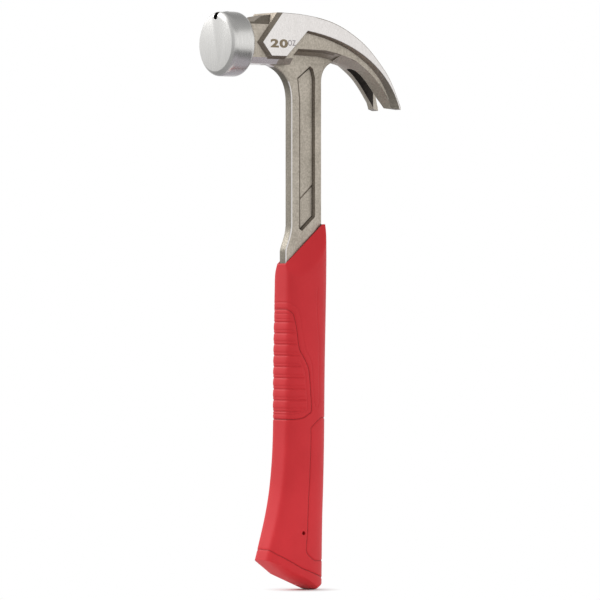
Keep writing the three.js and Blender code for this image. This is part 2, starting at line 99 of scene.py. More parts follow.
# %% Plates
def inset(outline, distance):
    """Moves each edge of a closed outline inwards by its own distance; each corner goes to where its
    two moved edges cross, or straight along the normal where they are nearly in line."""
    p = np.asarray(outline, float)
    d = np.broadcast_to(np.asarray(distance, float), len(p))
    edge = np.roll(p, -1, 0) - p
    edge /= np.linalg.norm(edge, axis=1, keepdims=True)
    # the sign of the outline's area says on which side of its edges the inside lies
    turn = np.sign((p[:, 0] * np.roll(p[:, 1], -1) - np.roll(p[:, 0], -1) * p[:, 1]).sum())
    n = turn * np.stack([-edge[:, 1], edge[:, 0]], 1)
    n0, d0 = np.roll(n, 1, 0), np.roll(d, 1)
    cross = n0[:, 0] * n[:, 1] - n0[:, 1] * n[:, 0]
    flat = np.abs(cross) < 0.05
    safe = np.where(flat, 1, cross)
    corner = np.stack([d0 * n[:, 1] - d * n0[:, 1], d * n0[:, 0] - d0 * n[:, 0]], 1) / safe[:, None]
    middle = (n0 + n) / 2 * ((d0 + d) / 2)[:, None]
    return p + np.where(flat[:, None], middle, corner)


def plate(name, outline, levels, across="y"):
    """Tube of one outline: levels are (height, inset) pairs. The outline lies in X-Z and the heights
    run across it, along Y; with across="z" it lies in X-Y and the heights run along Z."""
    rings = []
    for height, amount in levels:
        ring = inset(outline, amount)
        column = np.full(len(ring), float(height))
        columns = [ring[:, 0], column, ring[:, 1]] if across == "y" else [ring[:, 0], ring[:, 1], column]
        rings.append(np.stack(columns, 1))
    return tube(name, rings)


def both_sides(levels):
    """Levels from the middle plane outwards, mirrored, so that the plate is the same on both sides."""
    return [(-h, d) for h, d in reversed(levels)] + list(levels)


print("a unit square, inset by 0.1, has corners at", inset([(0, 0), (1, 0), (1, 1), (0, 1)], 0.1).tolist())

# %% [markdown]
# ### Curves
#
# Forged tools have few straight lines. Two kinds of curve serve here: one that is pulled by two handles,
# for a single sweep, and one that runs through all of its points, for measured lines.

# %% Curves
def bezier(a, b, c, d, steps):
    """Cubic curve from a to d with handles b and c: the four points weighted by (1-t)^3, 3t(1-t)^2,
    3t^2(1-t) and t^3."""
    t = np.linspace(0, 1, steps + 1)[:, None]
    a, b, c, d = (np.asarray(v, float) for v in (a, b, c, d))
    return (1 - t) ** 3 * a + 3 * t * (1 - t) ** 2 * b + 3 * t**2 * (1 - t) * c + t**3 * d


def smooth_through(points, steps):
    """Curve through points: on each stretch a cubic whose slope at each end is half the step between
    that point's two neighbours."""
    p = np.asarray(points, float)
    p = np.vstack([2 * p[0] - p[1], p, 2 * p[-1] - p[-2]])
    t = np.linspace(0, len(p) - 3, steps + 1)
    i = np.minimum(t.astype(int), len(p) - 4)
    u = (t - i)[:, None]
    p0, p1, p2, p3 = p[i], p[i + 1], p[i + 2], p[i + 3]
    square, cube = 2 * p0 - 5 * p1 + 4 * p2 - p3, 3 * p1 - p0 - 3 * p2 + p3
    return 0.5 * (2 * p1 + (p2 - p0) * u + square * u**2 + cube * u**3)


print("middle of a quarter sweep", bezier((1, 0), (1, 0.55), (0.55, 1), (0, 1), 2)[1].round(3))

# %% [markdown]
# ### Joining, cutting and mirroring
#
# Booleans do what the forge and the mill do: add one solid to another, or take one away. The object is
# the same on both sides, so a cutter for one side is mirrored for the other.

# %% Joining, cutting and mirroring
def combine(piece, others, how):
    """Joins others to piece (UNION), cuts them out of it (DIFFERENCE) or keeps what is common (INTERSECT)."""
    for other in others:
        step = piece.modifiers.new("step", "BOOLEAN")
        step.operation, step.object, step.solver = how, other, "MANIFOLD"
        result = bpy.data.meshes.new_from_object(piece.evaluated_get(bpy.context.evaluated_depsgraph_get()))
        piece.modifiers.clear()
        old, piece.data = piece.data, result
        bpy.data.meshes.remove(old)
        bpy.data.objects.remove(other, do_unlink=True)
    piece.data.name = piece.name
    print(how.lower(), piece.name, len(piece.data.polygons), "faces")
    return piece


def mirrored(piece, name):
    """A copy on the other side of the middle plane: y changes sign, and the faces are turned round to
    point outwards again."""
    twin = piece.copy()
    twin.data, twin.name = piece.data.copy(), name
    bpy.context.scene.collection.objects.link(twin)
    co = np.empty(len(twin.data.vertices) * 3)
    twin.data.vertices.foreach_get("co", co)
    co[1::3] *= -1
    twin.data.vertices.foreach_set("co", co)
    twin.data.flip_normals()
    return twin


print("pieces in the frame", len(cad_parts))

# %% [markdown]
# ## Bell
#
# The bell is turned on a lathe, so its surface is a profile carried round the X axis. The flat face
# meets a wide rounded bevel, which keeps the rim from chipping, and the back rim is rounded too.
# Each edge of the profile has two or three extra points close together: they are the tiny radius that
# catches light.

# %% Bell
BELL_Z = 325.3  # height of the bell's axis
# distance behind the face, radius
profile = np.array([
    (0, 16.3), (0.06, 16.52), (0.2, 16.8), (0.5, 17.3), (0.95, 17.88), (1.5, 18.4), (2.15, 18.83),
    (2.85, 19.13), (3.5, 19.27), (4.0, 19.3), (8.0, 19.3), (12.4, 19.3), (13.6, 19.2), (14.5, 18.92),
    (15.3, 18.45), (15.9, 17.8), (16.25, 17.0), (16.4, 16.2), (16.45, 14), (16.6, 9)])
angle = np.linspace(0, 2 * np.pi, 192, endpoint=False)
bell = tube("forging", np.stack([
    np.repeat(profile[:, :1] - FACE_REACH, len(angle), 1),
    profile[:, 1:] * np.cos(angle),
    BELL_Z + profile[:, 1:] * np.sin(angle)], -1))
print("bell", round(2 * profile[:, 1].max(), 1), "mm across")

# %% [markdown]
# ## Neck
#
# Between bell and cheeks the forging narrows to a bar with its four long corners taken off. Its
# section is an octagon that grows taller towards the cheeks, so it is made as a tube of octagons
# along X. A row of numbers per station is all that it needs: the height of its top.

# %% Neck
NECK_HALF, NECK_LOW_HALF = 11.5, 7.9  # half widths of its sides and of its underside
NECK_LOW, NECK_SIDE_LOW, NECK_SIDE_HIGH = 313.9, 317.5, 337.2
WIDEST_TOP_CORNER = 5.4
# x, height of the top
stations = np.array([
    (-51.5, 338.5), (-47.9, 338.5), (-44, 338.6), (-40.2, 340.4), (-36.6, 342.0), (-36.2, 342.2), (-26, 343.9),
    (-16, 343.6)])
top = stations[:, 1]
top_half = NECK_HALF - np.minimum(top - NECK_SIDE_HIGH, WIDEST_TOP_CORNER)


def same_at_each(half, height):
    """The same half width and height at every station."""
    return np.tile([half, height], (len(stations), 1)).astype(float)


octagon = np.stack([
    same_at_each(NECK_HALF, NECK_SIDE_LOW), same_at_each(NECK_HALF, NECK_SIDE_HIGH),
    np.stack([top_half, top], 1), np.stack([-top_half, top], 1),
    same_at_each(-NECK_HALF, NECK_SIDE_HIGH), same_at_each(-NECK_HALF, NECK_SIDE_LOW),
    same_at_each(-NECK_LOW_HALF, NECK_LOW), same_at_each(NECK_LOW_HALF, NECK_LOW)], 1)
neck = tube("neck", np.concatenate([np.repeat(stations[:, None, :1], 8, 1), octagon], -1))
print("neck", round(stations[-1, 0] - stations[0, 0], 1), "mm long in", len(stations), "octagons")

# %% [markdown]
# ## Cheeks and the band along the claw
#
# The bright flat cheek is ground after forging. It stands proud of the rest of the head, and its
# lower half runs out along the claw as a narrowing band. It is a plate through the whole head: one
# outline, a bevel round it, and a different bevel width for each edge, which `inset` allows.

# %% Cheeks
CHEEK_HALF = 14.2
crown = smooth_through([
    (-25.6, 344.4), (-12, 343.8), (2, 342.0), (14, 338.9), (26, 333.4), (38, 325.3), (50.1, 313.0), (56.4, 304.0),
    (62.0, 292.4), (63.1, 289.3), (63.2, 286.5)], 72)
band = bezier((61.9, 288.8), (55.1, 310.0), (33.2, 328.4), (-7.1, 334.0), 48)
cheek_face = np.vstack([[(-40.2, 326.4)], crown, [(62.2, 286.8)], band, [(-22.6, 318.5), (-33.6, 318.4)]])
# how far the bevel of each edge runs out: front, crown, tip, along the band, notch under it, and front again
band_bevel = np.interp(np.linspace(0, 1, len(band) - 1), [0, 0.12, 0.3, 0.5, 1], [3.9, 3.4, 2.3, 1.8, 1.0])
bevel = np.concatenate([[1.9], np.zeros(len(crown)), [2.4], band_bevel, [1.1, 1.7, 1.9]])
on_crown = np.concatenate([[0], np.ones(len(crown)), np.zeros(len(bevel) - len(crown) - 1)])
cheeks = plate("cheeks", cheek_face, both_sides([
    (11.0, -bevel), (11.5, -bevel), (13.6, -0.2 * bevel), (13.95, -0.07 * bevel + 0.1 * on_crown),
    (14.12, 0.05 + 0.2 * on_crown), (CHEEK_HALF, 0.2 + 0.3 * on_crown)]))
print("cheeks", 2 * CHEEK_HALF, "mm apart, outline of", len(cheek_face), "points")

# %% [markdown]
# ## Head and riser
#
# Behind the cheek the forging steps down to a lower level, and from there a soft slope, the riser, leads
# to the thin shank. The slope is again only a bevel: wide on the edges over the shank and absent elsewhere.

# %% Head
HEAD_FRONT = -17.4
riser = np.array([(HEAD_FRONT, 318.1), (-12.1, 323.2), (8, 322.8), (15.5, 321.6), (23.5, 319.9), (31.5, 316.9)])
inner_crown = crown[(crown[:, 0] > HEAD_FRONT) & (crown[:, 0] < 30)] - [0, 0.5]
head_outline = np.vstack([riser, [(33.5, 322)], inner_crown[::-1], [(HEAD_FRONT, 343.5)]])
slope = np.zeros(len(head_outline))
slope[:5] = 1, 1, 1, 0.95, 0.6
head = plate("head", head_outline, both_sides([
    (2.9, -3.4 * slope), (3.3, -3.2 * slope), (4.2, -2.7 * slope), (5.8, -2.0 * slope), (8.0, -1.25 * slope),
    (10.9, -0.32 * slope), (11.35, -0.08 * slope), (11.5, 0.12 * slope)]))
print("head outline of", len(head_outline), "points")

# %% [markdown]
# ## Claw
#
# The claw is a curved wedge. Four lines run along each side of it, like the rails of a track: the
# crown, the foot of the band's bevel, the lower edge of the side, and the edge of the nail slot. Straight
# lines between neighbouring rails give its facets, so the surface is crisp across and smooth along.

# %% Claw
# crown x, z | bevel foot x, z | side's lower edge x, z, half width | slot's edge x, z, half width
rails = smooth_through([
    (24.6, 333.6, 21.4, 326.2, 20.0, 320.5, 11.5, 18.8, 317.0, 3.2),
    (29.6, 330.9, 26.2, 324.6, 23.5, 319.7, 11.5, 21.8, 316.3, 3.3),
    (38.1, 325.0, 34.0, 320.1, 31.5, 316.8, 11.4, 29.5, 314.5, 3.5),
    (45.6, 317.7, 41.3, 314.2, 39.3, 311.9, 11.3, 37.3, 311.3, 3.7),
    (51.1, 310.9, 46.0, 308.7, 44.9, 307.4, 11.3, 42.8, 306.6, 3.9),
    (55.6, 304.5, 50.0, 302.4, 49.8, 302.0, 11.3, 46.9, 302.0, 4.1),
    (59.5, 298.0, 54.4, 296.5, 54.2, 296.1, 11.3, 51.3, 296.4, 4.3),
    (62.2, 290.8, 58.9, 289.9, 58.7, 289.6, 11.3, 56.4, 289.9, 4.5),
    (63.0, 285.0, 61.2, 284.6, 61.0, 284.4, 11.3, 58.8, 284.8, 4.6)], 72)


def rail(x, z, half):
    """One line along the claw: its x and z columns of the table with a half width beside them."""
    return np.stack([rails[:, x], np.broadcast_to(half, len(rails)), rails[:, z]], 1)


near = [rail(0, 1, -11.4), rail(2, 3, -11.45), rail(4, 5, -rails[:, 6]), rail(7, 8, -rails[:, 9])]
far = [line * [1, -1, 1] for line in reversed(near)]
claw = tube("claw", np.stack(near + far, 1))
print("claw", len(rails), "sections of", len(near + far), "points")

# %% [markdown]
# ## Shank and tang
#
# The shank is a flat bar with a recess in each side, which makes it an I-beam: nearly as stiff as a
# solid bar, and lighter. Curves lead its front into the neck and its back into the claw. Below the
# grip's mouth it goes on as the tang, with three holes that the grip's core grips. The recess is a plate
# that is cut out: its inset at each depth gives the sloping walls, each with its own slope.

# %% Shank
HALF_DEPTH = 11.3
shank_outline = np.vstack([
    [(-24, 330), (-30, 316), (-30, 313.7)],
    bezier((-27.6, 313.8), (-19, 311.4), (-11.4, 306.3), (-HALF_DEPTH, 292), 40),
    bezier((-HALF_DEPTH, 218), (-11.9, 210), (-15.6, 206), (-15.6, 202), 16),
    [(-15.6, 192.5), (-9.05, 186), (-12, 40), (1, 40), (7.95, 186), (HALF_DEPTH, 196.5)],
    bezier((HALF_DEPTH, 304), (HALF_DEPTH, 314.0), (18.8, 318.2), (31, 318.0), 40),
    [(31, 324), (10, 330)]])
shank = plate("shank", shank_outline, both_sides([(2.3, 0), (2.75, 0.08), (3.02, 0.3), (3.2, 0.75)]))

recess_outline = np.array([
    (-7.0, 306.3), (-5.5, 293.2), (-5.5, 216.0), (-3.3, 214.8), (6.4, 223.3), (6.4, 306.7), (4.9, 312.0),
    (2.7, 313.7)])
step_outline = np.array([(-5.5, 233.0), (-5.5, 216.0), (-3.3, 214.8), (6.4, 223.3), (6.4, 243.8)])
slant = np.array([2.1, 2.1, 1.6, 1.2, 1.0, 1.0, 1.0, 1.5])  # run of each wall
recess = plate("recess", recess_outline, [
    (1.28, 1.08 * slant), (1.32, 1.0 * slant), (1.55, 0.86 * slant), (2.2, 0.5 * slant), (3.0, 0.1 * slant),
    (3.6, -0.2 * slant)])
recess_far = mirrored(recess, "recess_far")
step_slant = np.array([2.1, 1.6, 1.2, 1.0, 0.0])
step_riser = np.array([0, 0, 0, 0, 1.1])
floor_step = plate("floor_step", step_outline, [
    (0.9, 1.1 * step_slant + step_riser), (1.28, 1.0 * step_slant), (2.4, 0.9 * step_slant)])
floor_step_far = mirrored(floor_step, "floor_step_far")


def round_hole(name, x, z, radius, half, every):
    """A round cutter across the handle, on every n-th of the bell's angles."""
    circle = np.stack([x + radius * np.cos(angle[::every]), z + radius * np.sin(angle[::every])], 1)
    return plate(name, circle, [(-half, 0), (half, 0)])


TANG_HOLE_RADIUS = 4
tang_holes = [
    round_hole("tang_hole", x, z, TANG_HOLE_RADIUS, 6, 4)
    for x, z in ((-1.43, 160), (-2.95, 115), (-4.48, 70))]
print("shank", 2 * HALF_DEPTH, "mm deep,", len(tang_holes), "holes in the tang")

# %% [markdown]
# ## Nail slot, claw tips and nail starter
#
# The slot between the tines is milled straight through and widens at the tips, so that a nail slides
# in. The nail starter is a notch in the top of the bell: a nail lies in it with its head in a wider
# pocket, held by a magnet in the floor, and the first blow can be struck with one hand. All of these
# are cutters, taken out of the joined forging as the milling machine takes them out of the real one.

# %% Slot and notch
root = np.linspace(np.pi / 2, 3 * np.pi / 2, 17)
slot_plan = np.vstack([
    [(80, -16.0), (80, 16.0), (62.0, 8.4), (56.4, 4.9), (52.0, 4.2), (41, 3.75)],
    np.stack([37.0 + 3.4 * np.cos(root), 3.4 * np.sin(root)], 1)[1:-1],
    [(41, -3.75), (52.0, -4.2), (56.4, -4.9), (62.0, -8.4)]])
slot = plate("slot", slot_plan, [(270, 0), (350, 0)], across="z")
tip_cut = plate("tip_cut", [(40, 292.1), (80, 286.0), (80, 270), (40, 270)], [(-30, 0), (30, 0)])
half_turn = np.linspace(np.pi, 2 * np.pi, 13)
NOTCH_HALF, NOTCH_AXIS, ABOVE = 1.95, 341.4, 350
notch_section = np.vstack([
    np.stack([NOTCH_HALF * np.cos(half_turn), NOTCH_AXIS + NOTCH_HALF * np.sin(half_turn)], 1),
    [(NOTCH_HALF, ABOVE), (-NOTCH_HALF, ABOVE)]])
notch = tube("notch", [np.insert(notch_section, 0, x, axis=1) for x in (-70, -62.6)])
pocket = plate("pocket", [(-62.3, 341.1), (-57.3, 341.1), (-57.3, ABOVE), (-62.3, ABOVE)], both_sides([
    (3.3, 0), (3.7, 0.2), (3.8, 0.6)]))
SEAT_X, SEAT_RADIUS = -59.8, 2.8
seat_circle = np.stack([SEAT_X + SEAT_RADIUS * np.cos(angle[::4]), SEAT_RADIUS * np.sin(angle[::4])], 1)
seat = plate("seat", seat_circle, [(337.5, 0), (342, 0)], across="z")

forging = combine(bell, [neck, head, cheeks, claw], "UNION")
forging = combine(forging, [slot, tip_cut], "DIFFERENCE")
forging = combine(forging, [shank], "UNION")
cutters = [recess, recess_far, floor_step, floor_step_far, *tang_holes, notch, pocket, seat]
forging = combine(forging, cutters, "DIFFERENCE")

# %% [markdown]
# ## Grip
#
# The grip is a tube of rounded ovals, wider at the butt, with everything moulded into its skin as
# relief: how far each point is pushed in. Ribs, seams and the raised panel are therefore sums of smooth
# grooves, each a function of the distance to a line drawn on the grip's side.

# %% Oval sections
GRIP_HALF, SQUARENESS = 12.4, 2.6
FRONT_FLAT = 0.9  # how much of the oval's front is taken off
# height, front, back
grip_sides = smooth_through([
    (-8, -40.7, 10.6), (8, -35.9, 10.6), (26, -30.5, 10.6), (45, -24.9, 10.7), (64, -21.2, 11.2),
    (90, -19.0, 11.7), (134, -18.4, 12.2), (191, -17.4, 13.4), (238, -17.2, 13.4)], 400)


def grip_section(z, angle_round, less=0.0):
    """Points and outward normals of the rounded oval at height z. In polar form its radius is the inverse
    of the n-th root of (|cos|/a)^n + (|sin|/b)^n; the front is then flattened by about 1 mm, which leaves
    a soft edge down each side of it. The oval is drawn in by less on all sides."""
    front = np.interp(z, grip_sides[:, 0], grip_sides[:, 1]) + less - 0.25
    back = np.interp(z, grip_sides[:, 0], grip_sides[:, 2]) - less
    a, b = (back - front) / 2, GRIP_HALF - less
    c, d = np.cos(angle_round), np.sin(angle_round)
    radius = ((np.abs(c) / a) ** SQUARENESS + (np.abs(d) / b) ** SQUARENESS) ** (-1 / SQUARENESS)
    u, v = radius * c, radius * d
    nx = np.sign(u) * np.abs(u / a) ** (SQUARENESS - 1) / a
    ny = np.sign(v) * np.abs(v / b) ** (SQUARENESS - 1) / b
    size = np.hypot(nx, ny)
    limit = FRONT_FLAT - a
    flat = ramp(-0.6, 0.6, limit - u)
    x = (front + back) / 2 + 0.5 * (u + limit + np.sqrt((u - limit) ** 2 + 0.6))
    return x, v, (nx / size) * (1 - flat) - flat, (ny / size) * (1 - flat)


def distance_to(line, x, z):
    """Distance from points to a chain of straight stretches: the least over all stretches."""
    a, b = np.asarray(line[:-1], float), np.asarray(line[1:], float)
    d = b - a
    best = np.full(x.shape, 1e9)
    for (ax, az), (dx, dz) in zip(a, d):
        t = np.clip(((x - ax) * dx + (z - az) * dz) / (dx * dx + dz * dz), 0, 1)
        best = np.minimum(best, np.hypot(x - ax - t * dx, z - az - t * dz))
    return best


def ramp(low, high, value):
    """0 below low, 1 above high, and a smooth S between."""
    t = np.clip((value - low) / (high - low), 0, 1)
    return t * t * (3 - 2 * t)


print("grip", round(np.ptp(grip_sides[:, 1:].mean(1)), 1), "mm of sweep from butt to mouth")

# %% Lines moulded into the grip
finger_edge = smooth_through([
    (-22, 169.6), (-17.6, 168.5), (-15.8, 166.8), (-14.3, 164.8), (-13.4, 160.4), (-12.6, 155.6), (-11.8, 147.9),
    (-11.0, 143.7), (-9.6, 141.1), (-7.4, 137.3), (-5.2, 132.6), (-4.4, 128.3), (-3.6, 119.8), (-3.0, 107.8),
    (-5.2, 105.3), (-8.7, 103.2), (-13.0, 102.4), (-17.7, 102.2), (-22, 102.6)], 90)
finger_line = np.vstack([[(-40, 170)], finger_edge, [(-40, 102.6)]])
spine_edge = smooth_through([
    (4.6, 102.9), (0.2, 100), (-3.2, 96.5), (-3.2, 89.9), (-3.9, 72), (-5.1, 54.1), (-5.8, 36.2), (-6.5, 27.3),
    (-6.5, 23.1), (-3.6, 20), (0.2, 17.8), (3.1, 17.5)], 70)
spine_line = np.vstack([[(30, 102.9)], spine_edge, [(30, 17.5)]])
cap_line = np.array([(-60, 50), (-32, 26.4), (-27, 22.3), (-10, 13.4), (20, 3.2), (60, -10)])
panel_line = np.vstack([[(-40, 173.3)], smooth_through([
    (-22, 173.2), (-17.7, 172.4), (-14.6, 170.6), (-11.9, 167.6), (-10.6, 162.0), (-9.6, 154.4), (-8.2, 147.4),
    (-7.2, 143.2), (-5.2, 140.4), (-3.6, 137.4), (-2.3, 131.7), (-1.9, 124.0), (-1.3, 115.5), (-0.2, 110.2),
    (1.0, 109.0), (2.4, 110.8), (3.1, 114.5), (3.1, 130), (3.1, 147.2), (2.0, 155.6), (1.4, 164.5), (1.4, 176),
    (2.0, 184)], 140)])
print("lines of", len(finger_line), len(spine_line), len(panel_line), "points")

# %% Relief
def mouth_taper(x, y, z):
    """Thins the sides towards the mouth: the half thickness is the lesser of the oval's and a straight
    ramp, blended where they meet. The distance below the slanting mouth drives the ramp."""
    below = (x - 11.3) * 0.656 - (z - 219) * 0.755
    limit = 4.35 + 8.05 * np.clip(below, 0, None) / 11.2
    limit = np.where(below > 14, 60, limit)
    half = np.abs(y)
    return np.sign(y) * 0.5 * (half + limit - np.sqrt((half - limit) ** 2 + 0.9))


def grip_tube(name, z, columns, relief, less=0.0):
    """Tube of ovals at heights z, each point pushed in along its normal by relief(x, y, z)."""
    theta = np.linspace(0, 2 * np.pi, columns, endpoint=False)
    z, theta = np.meshgrid(z, theta, indexing="ij")
    x, y, nx, ny = grip_section(z, theta, less)
    y = mouth_taper(x, y, z)
    depth = relief(x, y, z)
    return tube(name, np.stack([x - depth * nx, y - depth * ny, z], -1))


def groove(distance, width, depth):
    """Depth of a soft groove: falls off with the square of the distance over the width, as a bell curve."""
    return depth * np.exp(-((distance / width) ** 2))


def shell_relief(x, y, z):
    """Seams round both pads and the cap, and the line that runs outside the finger pad and round the
    side panel, whose skin is raised inside it."""
    d = groove(distance_to(finger_line, x, z), 0.5, 0.42) + groove(distance_to(spine_line, x, z), 0.45, 0.4)
    d += groove(distance_to(cap_line, x, z), 0.45, 0.4)
    line = distance_to(panel_line, x, z)
    raised = 0.16 * (ramp(0.0, 1.4, line) - 1)
    return d + (groove(line, 0.5, 0.36) + raised) * (1 - ramp(178, 184, z))


RIB_TOP, RIB_PITCH = 160.3, 6.68


def finger_relief(x, y, z):
    """Nine level grooves, each with a finer one above it, on a gently waved surface. They end near the
    pad's edge, along which a second line runs in its lower half. A slanting line closes them at the top."""
    edge = distance_to(finger_line, x, z)
    low = 1 - ramp(134, 143, z)
    inside = ramp(0.7 + 2.8 * low, 1.5 + 2.9 * low, edge)
    step = (z - RIB_TOP) / RIB_PITCH
    row = step - np.floor(step)
    in_rows = (step > -8.5) & (step < 0.5)
    major = groove(np.minimum(row, 1 - row) * RIB_PITCH, 0.5, 0.34)
    minor = groove((row - 0.27) * RIB_PITCH, 0.42, 0.17)
    wave = 0.1 * (1 - np.cos(2 * np.pi * row))
    ribs = np.where(in_rows, major + minor, 0) - wave * ramp(105, 108, z) * (1 - ramp(160, 164, z))
    second_line = groove(edge - 3.0, 0.4, 0.22) * low
    top_line = groove(z - 165.6 + 0.25 * (x + 18), 0.4, 0.2) * ramp(0.8, 1.4, edge)
    return groove(edge, 0.5, 0.42) + second_line + top_line + inside * ribs


def plain_relief(x, y, z):
    """Only the seams."""
    return groove(distance_to(spine_line, x, z), 0.45, 0.4) + groove(distance_to(cap_line, x, z), 0.45, 0.4)


def no_relief(x, y, z):
    """A smooth inner wall."""
    return np.zeros_like(x)


print("ribs every", RIB_PITCH, "mm")

# %% [markdown]
# ### Shell, pads and cap
#
# On the real grip a soft pad is moulded into a pocket of a harder shell, and a cap closes the butt. Each
# piece here is the same tube, cut along its own line: what lies inside the line and outside an inner
# tube is the pad, and the shell loses that room and a seam more. The shell also loses the
# rooms of tang and core, which are hidden inside it, and a small cross hole for a cord.

# %% Cutters for the grip
SEAM, SKIN = 0.14, 2.2  # gap round a pad, thickness of a pad
OUTSIDE = 60
butt_outline = [
    (-OUTSIDE, 38.6), (-18.5, 9), (3.5, 0), (40, 24), (OUTSIDE, 24), (OUTSIDE, 300), (-OUTSIDE, 300)]
quarter = np.linspace(0, np.pi / 2, 9)
butt_levels = both_sides([(3.9 + 9 * math.sin(q), 4.5 * (1 - math.cos(q))) for q in quarter])


def grip_ends(name):
    """The grip's length: its slanting underside with rounded long edges, below the mouth."""
    return plate(name, butt_outline, butt_levels)


def above_mouth(name):
    """Everything above the slanting mouth."""
    mouth = [(-OUTSIDE, 157.05), (HALF_DEPTH, 219), (OUTSIDE, 219), (OUTSIDE, 320), (-OUTSIDE, 320)]
    return plate(name, mouth, [(-40, 0), (40, 0)])


def below_cap(name, lift):
    """Everything under the butt cap's seam, which lift raises or lowers."""
    below = np.vstack([cap_line + [0, lift], [(OUTSIDE, -OUTSIDE), (-OUTSIDE, -OUTSIDE)]])
    return plate(name, below, [(-40, 0), (40, 0)])


def pad_room(name, line, grow=0):
    """The space of a pad: its line on the side, carried through the grip."""
    return plate(name, line, [(-40, -grow), (40, -grow)])


def pocket_for(name, line, heights):
    """The room that a pad takes from the shell: the pad's space, a seam wider, round an inner tube."""
    inner = grip_tube(name + "_inner", heights, 84, no_relief, SKIN + 0.3)
    return combine(pad_room(name, line, SEAM), [inner], "DIFFERENCE")


def pad(name, line, heights, columns, relief, inner_heights):
    """A pad: the grip's skin inside the line, less an inner tube."""
    piece = combine(grip_tube(name, heights, columns, relief), [pad_room(name + "_room", line)], "INTERSECT")
    return combine(piece, [grip_tube(name + "_inner", inner_heights, 84, no_relief, SKIN)], "DIFFERENCE")


tang_room = plate("tang_room", [
    (-15.9, 240), (-15.9, 192.2), (-9.4, 186), (-12.3, 39.7), (1.3, 39.7), (8.3, 186), (11.6, 196.2),
    (11.6, 240)], [(-3.5, 0), (3.5, 0)])
core_room = plate("core_room", [(-11.5, 180.3), (-14.1, 36.7), (3.1, 36.7), (9.9, 180.3)], [(-5.3, 0), (5.3, 0)])
cord_hole = round_hole("hole", -8.8, 34.4, 1.2, 20, 6)
print("pads", SKIN, "mm thick with seams of", SEAM, "mm")

# %% Grip pieces
heights = np.arange(-6, 229, 0.48)
shell = combine(grip_tube("grip_skin", heights, 180, shell_relief), [grip_ends("ends")], "INTERSECT")
shell = combine(shell, [
    above_mouth("mouth"), below_cap("cap_room", 0.1), pocket_for("finger_pocket", finger_line, heights[::4]),
    pocket_for("spine_pocket", spine_line, heights[::4]), tang_room, core_room, cord_hole], "DIFFERENCE")
finger = pad("finger_grip", finger_line, np.arange(99, 176, 0.3), 260, finger_relief, np.arange(96, 180, 2.0))
spine = pad("spine_grip", spine_line, np.arange(14, 107, 0.5), 168, plain_relief, np.arange(12, 110, 2.0))
cap = grip_tube("butt_end", np.arange(-6, 34, 0.4), 168, plain_relief)
cap = combine(cap, [grip_ends("ends_2"), below_cap("cap_space", -0.1)], "INTERSECT")

# %% [markdown]
# ## Weight mark
#
# The cheek carries the plain weight of the head. It is etched: a thin dull layer of the steel, so it is
# modelled as flat letters that lie on the cheek. A text object gives them, and becomes a mesh before its
# place is applied.

# %% Weight mark
ABOVE_CHEEK = 0.03


def mark(name, words, size, x, z, wide, swell, spacing):
    """Flat letters on the near cheek, with x running to the right and z up: wide stretches them, swell
    thickens their strokes, and spacing sets them apart."""
    curve = bpy.data.curves.new(name, "FONT")
    curve.body, curve.size, curve.offset, curve.fill_mode = words, size, swell, "FRONT"
    curve.space_character = spacing
    lettering = bpy.data.objects.new(name + "_curve", curve)
    bpy.context.scene.collection.objects.link(lettering)
    flat = bpy.data.meshes.new_from_object(lettering.evaluated_get(bpy.context.evaluated_depsgraph_get()))
    bpy.data.objects.remove(lettering)
    co = np.empty(len(flat.vertices) * 3)
    flat.vertices.foreach_get("co", co)
    co = co.reshape(-1, 3)
    across, up = x + AXIS_X + co[:, 0] * wide, z + co[:, 1]
    placed = np.stack([across, np.full(len(co), -CHEEK_HALF - ABOVE_CHEEK), up], 1)
    flat.vertices.foreach_set("co", (placed / 1000).ravel())
    flat.name = name
    piece = bpy.data.objects.new(name, flat)
    bpy.context.scene.collection.objects.link(piece)
    return piece


number = mark("weight_number", "20", 6.5, -34.6, 323.7, 1.8, 0.3, 1.14)
unit = mark("weight_unit", "oz", 7.4, -22.1, 324.8, 0.84, 0.0, 1.0)
print("marks", [len(piece.data.polygons) for piece in (number, unit)], "faces")

# %% [markdown]
# ## Finishes
#
# Most of the forging is shot-blasted: warm grey, dull and finely pitted. The cheeks, the band and the
# crown are ground flat after that, and the bell is turned and polished. Steep bevels, risers and the recess
# are painted darker as shade, the slot and the notch are painted nearly black as shade, and the claw's tip
# bevels and the shank's front take a lighter painted shade. Edges that rub are lighter, for wear and as a
# painted highlight. The grip is matt red rubber with a fine skin from its mould. Effects that several of
# these share are node groups, and each material places them with its own values.

# %% Node helpers
def wire(tree, kind, inputs=(), **settings):
    """Adds a node, sets its properties, and fills its inputs: a socket is linked and a value is set."""
    node = tree.nodes.new(kind)
    for key, value in settings.items():
        setattr(node, key, value)
    for key, value in dict(inputs).items():
        if isinstance(value, bpy.types.NodeSocket):
            tree.links.new(value, node.inputs[key])
        else:
            node.inputs[key].default_value = value
    return node


def math_node(tree, operation, a, b=0.0, clamp=False):
    """One arithmetic step on two numbers or sockets."""
    return wire(tree, "ShaderNodeMath", {0: a, 1: b}, operation=operation, use_clamp=clamp).outputs[0]


def new_group(name, numbers, outputs):
    """An empty node group with number inputs (name: default) and outputs (name: socket type)."""
    group = bpy.data.node_groups.new(name, "ShaderNodeTree")
    for key, value in numbers.items():
        group.interface.new_socket(key, in_out="INPUT", socket_type="NodeSocketFloat").default_value = value
    for key, kind in outputs.items():
        group.interface.new_socket(key, in_out="OUTPUT", socket_type=kind)
    return group, group.nodes.new("NodeGroupInput").outputs, group.nodes.new("NodeGroupOutput")


print("helpers for nodes ready")

# %% [markdown]
# ### Grain
#
# Shot blasting, moulding and handling all leave a surface that varies at two scales: fine pits and
# broad cloudy patches. One group gives both, as a shade for the colour and a height for the bump.

